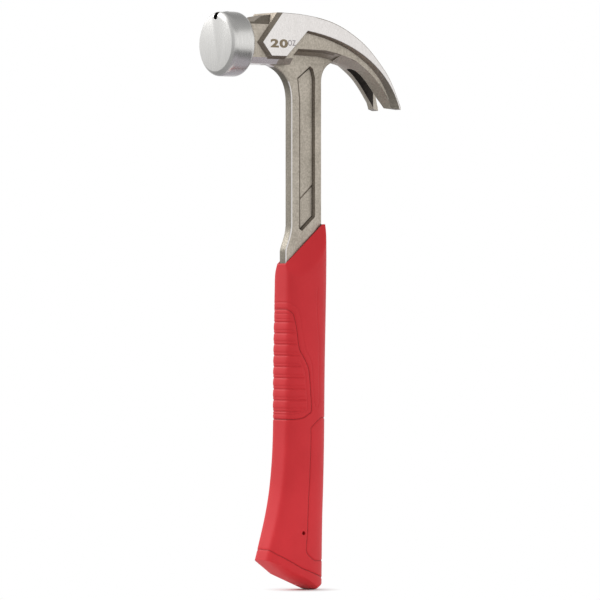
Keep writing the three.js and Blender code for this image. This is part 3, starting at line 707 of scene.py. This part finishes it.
# %% Grain group
grain, given, out = new_group(
    "grain", {"Fineness": 900.0, "Patch size": 60.0, "Stretch": 1.0},
    {"Pits": "NodeSocketFloat", "Patches": "NodeSocketFloat"})
place = wire(grain, "ShaderNodeTexCoord").outputs["Object"]
stretch = wire(grain, "ShaderNodeCombineXYZ", {0: 1.0, 1: 1.0, 2: given["Stretch"]}).outputs[0]
place = wire(grain, "ShaderNodeVectorMath", {0: place, 1: stretch}, operation="MULTIPLY").outputs[0]
pits = wire(grain, "ShaderNodeTexNoise", {
    "Vector": place, "Scale": given["Fineness"], "Detail": 3.0, "Roughness": 0.65})
patches = wire(grain, "ShaderNodeTexNoise", {"Vector": place, "Scale": given["Patch size"], "Detail": 2.0})
grain.links.new(pits.outputs["Fac"], out.inputs["Pits"])
grain.links.new(patches.outputs["Fac"], out.inputs["Patches"])
print("group", grain.name)

# %% [markdown]
# ### Soft edges
#
# No machined edge is perfectly sharp: it has a radius of a few tenths of a millimetre, and handling
# polishes it. The group returns a normal rounded over that radius and a mask of where it bends.

# %% Edge group
edges, given, out = new_group(
    "soft_edges", {"Radius": 0.00035}, {"Normal": "NodeSocketVector", "Edge": "NodeSocketFloat"})
rounded = wire(edges, "ShaderNodeBevel", {"Radius": given["Radius"]}, samples=6).outputs[0]
true = wire(edges, "ShaderNodeNewGeometry").outputs["Normal"]
same = wire(edges, "ShaderNodeVectorMath", {0: rounded, 1: true}, operation="DOT_PRODUCT").outputs["Value"]
bend = math_node(edges, "MULTIPLY", math_node(edges, "SUBTRACT", 1.0, same), 4.0, clamp=True)
edges.links.new(rounded, out.inputs["Normal"])
edges.links.new(bend, out.inputs["Edge"])
print("group", edges.name)

# %% [markdown]
# ### Painted shade in corners
#
# Corners and seams are darkened in the colour itself: painted shade. Ambient occlusion measures how closed
# in a point is within a short distance.

# %% Painted corner shade group
painted_corner_shade, given, out = new_group("painted_corner_shade", {"Reach": 0.002, "Depth": 0.6}, {"Light": "NodeSocketFloat"})
open_share = wire(painted_corner_shade, "ShaderNodeAmbientOcclusion", {"Distance": given["Reach"]}, samples=8).outputs["AO"]
closed_share = math_node(painted_corner_shade, "SUBTRACT", 1.0, open_share)
kept = math_node(painted_corner_shade, "SUBTRACT", 1.0, math_node(painted_corner_shade, "MULTIPLY", closed_share, given["Depth"]), clamp=True)
painted_corner_shade.links.new(kept, out.inputs["Light"])
print("group", painted_corner_shade.name)

# %% [markdown]
# ### Colour and shader
#
# A finish is one Principled shader. What is the same all over it sits on the shader's own sockets, and
# what varies, its colour, roughness and normal, comes from the groups through a few small steps.

# %% Colour steps
def finish(name, metallic, **sockets):
    """A material with a Principled BSDF, whose constants are set on its own sockets."""
    m = bpy.data.materials.new(name)
    m.use_nodes = True
    shader = m.node_tree.nodes["Principled BSDF"]
    shader.inputs["Metallic"].default_value = metallic
    for key, value in sockets.items():
        shader.inputs[key.replace("_", " ")].default_value = value
    return m, m.node_tree, shader


def two_tone(tree, factor, low, high):
    """A colour between two, by a factor."""
    mix = wire(tree, "ShaderNodeMix", data_type="RGBA")
    mix.inputs[6].default_value, mix.inputs[7].default_value = (*low, 1), (*high, 1)
    tree.links.new(factor, mix.inputs[0])
    return mix.outputs[2]


def lighten(tree, colour, factor, towards):
    """Moves a colour towards another by a mask."""
    mix = wire(tree, "ShaderNodeMix", data_type="RGBA")
    mix.inputs[7].default_value = (*towards, 1)
    tree.links.new(factor, mix.inputs[0])
    tree.links.new(colour, mix.inputs[6])
    return mix.outputs[2]


def darken(tree, colour, light):
    """Multiplies a colour by a number that varies."""
    scaled = wire(tree, "ShaderNodeVectorMath", {0: colour}, operation="SCALE")
    tree.links.new(light, scaled.inputs["Scale"])
    return scaled.outputs[0]


def place_group(tree, group, **values):
    """An instance of a node group with its own values."""
    node = wire(tree, "ShaderNodeGroup")
    node.node_tree = group
    for key, value in values.items():
        node.inputs[key.replace("_", " ")].default_value = value
    return node


def rescaled(tree, value, low, high, new_low=0.0, new_high=1.0):
    """Carries a value from one range to another along a straight line."""
    return wire(tree, "ShaderNodeMapRange", {
        "Value": value, "From Min": low, "From Max": high, "To Min": new_low, "To Max": new_high}).outputs[0]


def surface(tree, shader, colour, light, roughness, pits, normal, strength, distance):
    """Links what varies to the shader: colour times light, roughness, and pits as a bump on the normal."""
    tree.links.new(darken(tree, colour, light), shader.inputs["Base Color"])
    tree.links.new(roughness, shader.inputs["Roughness"])
    bump = wire(tree, "ShaderNodeBump", {
        "Height": pits, "Normal": normal, "Strength": strength, "Distance": distance})
    tree.links.new(bump.outputs[0], shader.inputs["Normal"])


print("finishes share", [group.name for group in (grain, edges, painted_corner_shade)])

# %% [markdown]
# ### Steel
#
# All the steel finishes are one function with other numbers: two tones, a tint for the edges, and how
# rough, how deeply pitted and how rubbed it is. The edge tint stands both for wear and for a painted
# highlight. Turned and ground steel carry long fine scratches, which is the same grain stretched along the tool.

# %% Steel
def metal(name, low, high, edge_wear_and_highlight, *, rough, pit_bump, radius, fineness=1100.0, stretch=1.0, closed=0.6):
    """A steel finish: two tones mixed by grain, lighter on its edges for wear and as a painted highlight,
    darker in its corners as painted shade, and rougher where it is pitted.
    """
    m, tree, shader = finish(name, 1.0)
    g = place_group(tree, grain, Fineness=fineness, Patch_size=45.0, Stretch=stretch)
    e = place_group(tree, edges, Radius=radius)
    fine = math_node(tree, "MULTIPLY", g.outputs["Pits"], 0.7)
    mixed = math_node(tree, "ADD", fine, math_node(tree, "MULTIPLY", g.outputs["Patches"], 0.3))
    tones = two_tone(tree, rescaled(tree, mixed, 0.36, 0.64), low, high)
    # lighter edges: wear and a painted highlight
    colour = lighten(tree, tones, math_node(tree, "MULTIPLY", e.outputs["Edge"], 0.6), edge_wear_and_highlight)
    # corners darker: painted shade
    light = place_group(tree, painted_corner_shade, Reach=0.003, Depth=closed).outputs["Light"]
    roughness = rescaled(tree, mixed, 0.36, 0.64, rough + 0.05, rough - 0.05)
    surface(tree, shader, colour, light, roughness, g.outputs["Pits"], e.outputs["Normal"], pit_bump, 0.0003)
    return m


blasted = metal("blasted_steel", (0.39, 0.35, 0.29), (0.58, 0.525, 0.45), (0.78, 0.74, 0.67),
                rough=0.46, pit_bump=0.30, radius=0.00035, closed=0.4)
# painted shade: a darker steel for bevels, risers, the recess and the top of the neck
painted_shade = metal("painted_shade_steel", (0.215, 0.184, 0.148), (0.37, 0.322, 0.262), (0.42, 0.38, 0.32),
              rough=0.50, pit_bump=0.30, radius=0.0003)
# near-black painted shade for the slot, the notch and the foot of the recess walls
painted_deep_shade = metal("painted_deep_shade_steel", (0.030, 0.026, 0.023), (0.062, 0.053, 0.046), (0.12, 0.10, 0.09),
             rough=0.55, pit_bump=0.25, radius=0.0001)
ground = metal("ground_steel", (0.70, 0.67, 0.65), (0.82, 0.79, 0.77), (0.86, 0.84, 0.82),
               rough=0.30, pit_bump=0.06, radius=0.00025, fineness=2200.0, stretch=0.25)
turned = metal("turned_steel", (0.65, 0.643, 0.625), (0.72, 0.710, 0.690), (0.84, 0.84, 0.84),
               rough=0.29, pit_bump=0.012, radius=0.00025, fineness=1300.0, stretch=0.10)
# a lighter painted shade, for the claw tips' bevels and the shank's front
painted_soft_shade = metal("painted_soft_shade_steel", (0.22, 0.20, 0.165), (0.34, 0.31, 0.26), (0.80, 0.76, 0.70),
             rough=0.44, pit_bump=0.30, radius=0.0004)
etched = metal("etched_steel", (0.24, 0.19, 0.13), (0.32, 0.26, 0.18), (0.3, 0.25, 0.2),
               rough=0.55, pit_bump=0.1, radius=0.00005, fineness=1500.0)
etched_light = metal("etched_light_steel", (0.36, 0.33, 0.34), (0.42, 0.39, 0.40), (0.6, 0.56, 0.56),
                     rough=0.5, pit_bump=0.1, radius=0.00005, fineness=1500.0)
magnet_plate = metal("magnet_plate", (0.030, 0.030, 0.036), (0.06, 0.06, 0.07), (0.2, 0.2, 0.22),
                     rough=0.35, pit_bump=0.1, radius=0.0001, fineness=1500.0)
steels = (blasted, ground, turned, painted_shade, painted_deep_shade, painted_soft_shade)
print("steel finishes", [m.name for m in steels])

# %% [markdown]
# ### Rubber
#
# Moulded rubber takes a fine matt skin from its mould. Its colour is nearly even, and a little sheen
# lightens it where it turns away. Its edges are painted paler as a highlight, and its seams are painted darker
# as shade. The core is the same function in a darker, harder mix.

# %% Rubber
EDGE_HIGHLIGHT_RED = (0.72, 0.06, 0.06)


def rubber(name, low, high, rough, radius):
    """Matt moulded rubber: nearly even colour with faint clouds, a fine skin, soft edges painted paler as a
    highlight, and painted shade in its seams.
    """
    m, tree, shader = finish(name, 0.0, Specular_IOR_Level=0.30, Sheen_Weight=0.10, Sheen_Roughness=0.4)
    g = place_group(tree, grain, Fineness=1900.0, Patch_size=38.0, Stretch=1.0)
    e = place_group(tree, edges, Radius=radius)
    tones = two_tone(tree, rescaled(tree, g.outputs["Patches"], 0.3, 0.7), low, high)
    # paler edges: painted highlight
    colour = lighten(tree, tones, math_node(tree, "MULTIPLY", e.outputs["Edge"], 0.25), EDGE_HIGHLIGHT_RED)
    # seams and grooves darker: painted shade
    light = place_group(tree, painted_corner_shade, Reach=0.0012, Depth=0.75).outputs["Light"]
    roughness = rescaled(tree, g.outputs["Pits"], 0.35, 0.65, rough - 0.05, rough + 0.07)
    surface(tree, shader, colour, light, roughness, g.outputs["Pits"], e.outputs["Normal"], 0.16, 0.0002)
    return m


red = rubber("red_rubber", (0.70, 0.025, 0.033), (0.76, 0.031, 0.040), 0.56, 0.0003)
core_red = rubber("core_plastic_red", (0.30, 0.016, 0.020), (0.36, 0.020, 0.024), 0.42, 0.0002)
print("rubbers", red.name, core_red.name)

# %% [markdown]
# ## Which face gets which finish
#
# The forging is one mesh, so the finish is chosen face by face, from where a face is and which way it
# looks: the bell is everything in front of its back rim, and ground faces are the flat ones at the full
# width and the crown. The darker steels go where faces lie in shade: painted shade. A later rule may
# overrule an earlier one.

# %% Reading faces
def faces_of(piece):
    """Centres in mm from the handle axis, and normals, of all faces, read as whole arrays."""
    count = len(piece.data.polygons)
    centre, normal = np.empty(count * 3), np.empty(count * 3)
    piece.data.polygons.foreach_get("center", centre)
    piece.data.polygons.foreach_get("normal", normal)
    return centre.reshape(-1, 3) * 1000 - [AXIS_X, 0, 0], normal.reshape(-1, 3)


def dress(piece, *materials):
    """Replaces whatever materials a mesh holds."""
    piece.data.materials.clear()
    for m in materials:
        piece.data.materials.append(m)


def between(value, low, high):
    """True where a value lies between two limits."""
    return (value > low) & (value < high)


BLASTED, GROUND, TURNED, PAINTED_SHADE, PAINTED_DEEP_SHADE, PAINTED_SOFT_SHADE = range(len(steels))
centre, normal = faces_of(forging)
(x, y, z), (nx, ny, nz) = centre.T, normal.T
wide, side = np.abs(y), np.abs(ny)
from_bell_axis = np.hypot(y, z - BELL_Z)
kind = np.full(len(centre), BLASTED, np.int32)
print("faces to dress", len(kind))

# %% Head
kind[(wide > 13.9) & (x > -45)] = GROUND  # cheeks and band
kind[(z > 289) & (x > -25.6) & (ny**2 < 0.3) & (nz + nx > 0.6)] = GROUND  # crown
kind[(x < -48.2) & (from_bell_axis > 12.5) | (x < -49.9)] = TURNED  # bell
# bevel round the cheeks, and the fine line between cheek and crown: painted shade
on_edge = between(wide, 10.9, 14.1) & (side < 0.97)
kind[(kind != TURNED) & on_edge & (x > -45) & ((nz < 0.15) & (x > -26) | (x < -25.9))] = PAINTED_SHADE
kind[(kind == GROUND) & between(wide, 13.96, 14.19) & (nz + nx > 0.35) & (x > -26)] = PAINTED_SHADE
# top of the neck and the slope behind the bell: painted shade
kind[(kind == BLASTED) & (wide < 11.6) & between(x, -49, -14) & (z > 337.4) & (nz > 0.3)] = PAINTED_SHADE
kind[between(x, -48, -24) & (z > 338) & (wide < 11.6) & (nx < -0.5)] = PAINTED_SHADE
# bevel near the claw's tips in a lighter painted shade, underside of the neck ground, upper part of the riser in
# painted shade
kind[(kind == PAINTED_SHADE) & on_edge & (x > 44)] = PAINTED_SOFT_SHADE
kind[(kind == BLASTED) & between(x, -49, -24) & (z < 318) & (nz < -0.4)] = GROUND
on_riser = between(wide, 8.1, 11.6) & (side < 0.97) & between(x, -14, 16) & between(z, 314, 325)
kind[(kind == BLASTED) & on_riser & (nz < 0)] = PAINTED_SHADE

# %% Recess, slot, notch and shank
in_recess = between(x, -5.8, 6.7) & between(z, 214, 314) & (wide < 3.15) & (side < 0.95)
# the recess: painted shade
kind[in_recess] = PAINTED_SHADE
# near-black painted shade at the foot of its walls
kind[in_recess & between(wide, 1.3, 1.6)] = PAINTED_DEEP_SHADE  # foot of its walls
# walls of the slot, which look at each other, and its root: near-black painted shade
kind[(x > 33) & (wide < 5.4) & (side > 0.5) & (z > 291) & (ny * y < 0)] = PAINTED_DEEP_SHADE
kind[between(x, 33, 38) & (wide < 3.6) & (z < 322) & (side < 0.9) & (nx > 0.2) & (nz > -0.3)] = PAINTED_DEEP_SHADE
# walls of the notch and its pocket: near-black painted shade
in_notch = between(x, -64.6, -57) & (wide < 6.05) & between(z, 339, 344.3) & (from_bell_axis < 19.1)
kind[in_notch & ((np.abs(nx) < 0.05) | (np.abs(nx) > 0.97))] = PAINTED_DEEP_SHADE
# front of the shank in a lighter painted shade, and its chamfer ground
kind[(kind == BLASTED) & between(z, 196, 313.4) & (nx < -0.35) & (side < 0.3) & (x < -8)] = PAINTED_SOFT_SHADE
kind[(kind == BLASTED) & between(z, 196, 304) & (nx < -0.3) & between(side, 0.5, 0.95) & (x < -8)] = GROUND
print("finishes", [int((kind == i).sum()) for i in range(len(steels))])

# %% Dressing
dress(forging, *steels)
forging.data.polygons.foreach_set("material_index", kind)
for piece in (shell, finger, spine, cap):
    dress(piece, red)
    piece.data.polygons.foreach_set("material_index", np.zeros(len(piece.data.polygons), np.int32))
dress(number, etched)
dress(unit, etched_light)
dress(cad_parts["nail_magnet"], magnet_plate)
dress(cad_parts["grip_core"], core_red)
SHARP = math.radians(23)
for piece in (forging, shell, finger, spine, cap):
    piece.data.polygons.foreach_set("use_smooth", np.ones(len(piece.data.polygons), bool))
    piece.data.set_sharp_from_angle(angle=SHARP)
flat_faced = between(x, -47.8, -19) | in_recess
forging.data.polygons.foreach_set("use_smooth", ~flat_faced)
print("flat faces", int(flat_faced.sum()))

# %% [markdown]
# ## Stage, light and camera
#
# Steel is mostly a picture of its surroundings, so the studio is painted into the world: a bright wall
# at the height of the object, a greyer ceiling and a grey strip below. Each of four walls is a row of
# greys by height, and they blend into one another round the object. The camera itself sees plain white.

# %% Studio
TURN = math.radians(36.5)  # the camera's view is turned by this from the Y axis
ahead = np.array([math.sin(TURN), math.cos(TURN), 0])
right = np.array([math.cos(TURN), -math.sin(TURN), 0])
world = bpy.data.worlds.new("studio")
bpy.context.scene.world = world
world.use_nodes = True
sky = world.node_tree
sky.nodes.clear()
way = wire(sky, "ShaderNodeTexCoord").outputs["Generated"]
height = wire(sky, "ShaderNodeSeparateXYZ", {0: way}).outputs["Z"]
sideways = wire(sky, "ShaderNodeVectorMath", {0: way, 1: tuple(right)}, operation="DOT_PRODUCT").outputs["Value"]
forwards = wire(sky, "ShaderNodeVectorMath", {0: way, 1: tuple(ahead)}, operation="DOT_PRODUCT").outputs["Value"]


def wall(stops):
    """A row of greys by height, which runs from -1, straight down, to 1, straight up. Each stop is a
    height and a brightness or a colour."""
    ramp_node = wire(sky, "ShaderNodeValToRGB", {"Fac": rescaled(sky, height, -1, 1)})
    elements = ramp_node.color_ramp.elements
    while len(elements) < len(stops):
        elements.new(0.5)
    for element, (level, tone) in zip(elements, stops):
        element.position = (level + 1) / 2
        element.color = (*tone, 1) if isinstance(tone, tuple) else (tone, tone, tone, 1)
    return ramp_node.outputs["Color"]


def blended(first, second, value, low, high):
    """first below low, second above high, and a mix between."""
    node = wire(sky, "ShaderNodeMix", data_type="RGBA")
    for socket, source in ((0, rescaled(sky, value, low, high)), (6, first), (7, second)):
        sky.links.new(source, node.inputs[socket])
    return node.outputs[2]


right_wall = wall([
    (-1.0, (0.40, 0.38, 0.41)), (-0.68, (0.50, 0.47, 0.51)), (-0.60, 0.20), (-0.38, 0.16), (-0.26, 0.92),
    (0.0, 1.05), (0.52, 1.0), (0.64, 0.45), (1.0, 0.46)])
back_wall = wall([
    (-1.0, (0.40, 0.38, 0.41)), (-0.5, (0.5, 0.48, 0.52)), (-0.2, 0.95), (0.2, 1.0), (0.42, 0.5), (0.7, 0.34),
    (1.0, 0.28)])
left_wall = wall([
    (-1.0, 0.40), (-0.45, 0.36), (-0.25, 0.55), (-0.05, 0.90), (0.25, 0.96), (0.5, 1.1), (0.85, 1.0), (1.0, 0.4)])
front_left_wall = wall([(-1.0, 0.45), (-0.3, 0.42), (0.0, 0.62), (0.5, 0.7), (0.8, 0.5), (1.0, 0.3)])
one_side = blended(front_left_wall, left_wall, forwards, -0.35, 0.1)
other_side = blended(right_wall, back_wall, forwards, 0.1, 0.6)
around = blended(one_side, other_side, sideways, -0.45, -0.1)
studio_light = wire(sky, "ShaderNodeBackground", {"Color": around, "Strength": 1.0})
white = wire(sky, "ShaderNodeBackground", {"Color": (1, 1, 1, 1), "Strength": 1.0})
seen = wire(sky, "ShaderNodeLightPath").outputs["Is Camera Ray"]
chosen = wire(sky, "ShaderNodeMixShader", {0: seen, 1: studio_light.outputs[0], 2: white.outputs[0]})
wire(sky, "ShaderNodeOutputWorld", {"Surface": chosen.outputs[0]})
print("world of", len(sky.nodes), "nodes")

# %% [markdown]
# ### Lamp
#
# Soft rubber needs a light with a direction to show its shape. A broad square lamp, a metre wide, stands
# high on the left and a little behind.

# %% Lamp
def lamp(name, place, aim, side_length, power):
    """A square soft light that points from place to aim."""
    data = bpy.data.lights.new(name, "AREA")
    data.shape, data.size, data.energy = "SQUARE", side_length, power
    light = bpy.data.objects.new(name, data)
    bpy.context.scene.collection.objects.link(light)
    light.location = place
    dx, dy, dz = np.array(aim) - np.array(place)
    light.rotation_euler = (math.atan2(math.hypot(dx, dy), -dz), 0, math.atan2(dy, dx) - math.pi / 2)
    print(name, "at", np.round(place, 2), "with", power, "W")


middle = np.array([0, 0, 0.2])
lamp("left_softbox", middle + 0.5 * ahead - 1.2 * right + [0, 0, 0.95], middle, 1.0, 12)

# %% [markdown]
# ### Floor
#
# The floor is a thin round plate, pale and matt. It takes the soft shadow where the hammer touches it, and
# away from there the camera sees it fade to plain white, so that it has no edge.

# %% Floor
FLOOR_RADIUS, FADE_FROM, FADE_TO = 122, 0.004, 0.024
around_floor = np.linspace(0, 2 * np.pi, 96, endpoint=False)
floor_profile = (
    (1, -3), (FLOOR_RADIUS - 2, -3), (FLOOR_RADIUS, -2.5), (FLOOR_RADIUS, -0.3), (FLOOR_RADIUS - 2, -0.05),
    (1, -0.05))
floor_plate = tube("floor_plate", [np.stack([
    r * np.cos(around_floor), r * np.sin(around_floor), np.full(len(around_floor), level)], 1)
    for r, level in floor_profile])
m, tree, shader = finish("pale_floor", 0.0, Roughness=0.8)
shader.inputs["Base Color"].default_value = (0.9, 0.9, 0.9, 1)
position = wire(tree, "ShaderNodeTexCoord").outputs["Object"]
from_middle = wire(tree, "ShaderNodeVectorMath", {0: position}, operation="LENGTH").outputs["Value"]
fade = rescaled(tree, from_middle, FADE_FROM, FADE_TO)
share = math_node(tree, "MULTIPLY", fade, wire(tree, "ShaderNodeLightPath").outputs["Is Camera Ray"])
glow = wire(tree, "ShaderNodeEmission", {"Color": (1, 1, 1, 1), "Strength": 1.0})
both = wire(tree, "ShaderNodeMixShader", {0: share, 1: shader.outputs[0], 2: glow.outputs[0]})
tree.links.new(both.outputs[0], tree.nodes["Material Output"].inputs["Surface"])
dress(floor_plate, m)
print("floor", 2 * FLOOR_RADIUS, "mm across")

# %% [markdown]
# ### Camera
#
# A long lens from three metres away keeps the hammer's proportions. The camera stands level, at half
# the hammer's height, and looks past the striking face towards the claw.

# %% Camera
DISTANCE, EYE_HEIGHT, SIDESTEP = 3.0, 0.1735, 0.00201
camera = bpy.data.objects.new("camera", bpy.data.cameras.new("camera"))
bpy.context.scene.collection.objects.link(camera)
camera.data.lens, camera.data.sensor_width = 300.2, 36
camera.location = np.array([AXIS_X / 1000, 0, EYE_HEIGHT]) - DISTANCE * ahead - SIDESTEP * right
camera.rotation_euler = (math.pi / 2, 0, -TURN)
camera.data.clip_end = 50
bpy.context.scene.camera = camera
bpy.context.scene.view_settings.view_transform = "Standard"
print("camera", DISTANCE, "m away, lens", round(camera.data.lens, 1), "mm")

# %% [markdown]
# ## Back to the frame
#
# Each piece rides on the frame's one body and stands in for its node there. The magnet and the grip's
# core keep their own meshes and only take a finish.

# %% Frame
for piece, nodes, slot_name in (
        (forging, ["hammer_forging"], "forged_steel"), (shell, ["grip_shell"], "grip_skin"),
        (finger, ["finger_pad"], "grip_pads"), (spine, ["spine_pad"], "grip_pads"),
        (cap, ["butt_cap"], "grip_skin"), (number, [], "forged_steel"), (unit, [], "forged_steel")):
    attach(piece, "root")
    if nodes:
        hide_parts(*nodes)
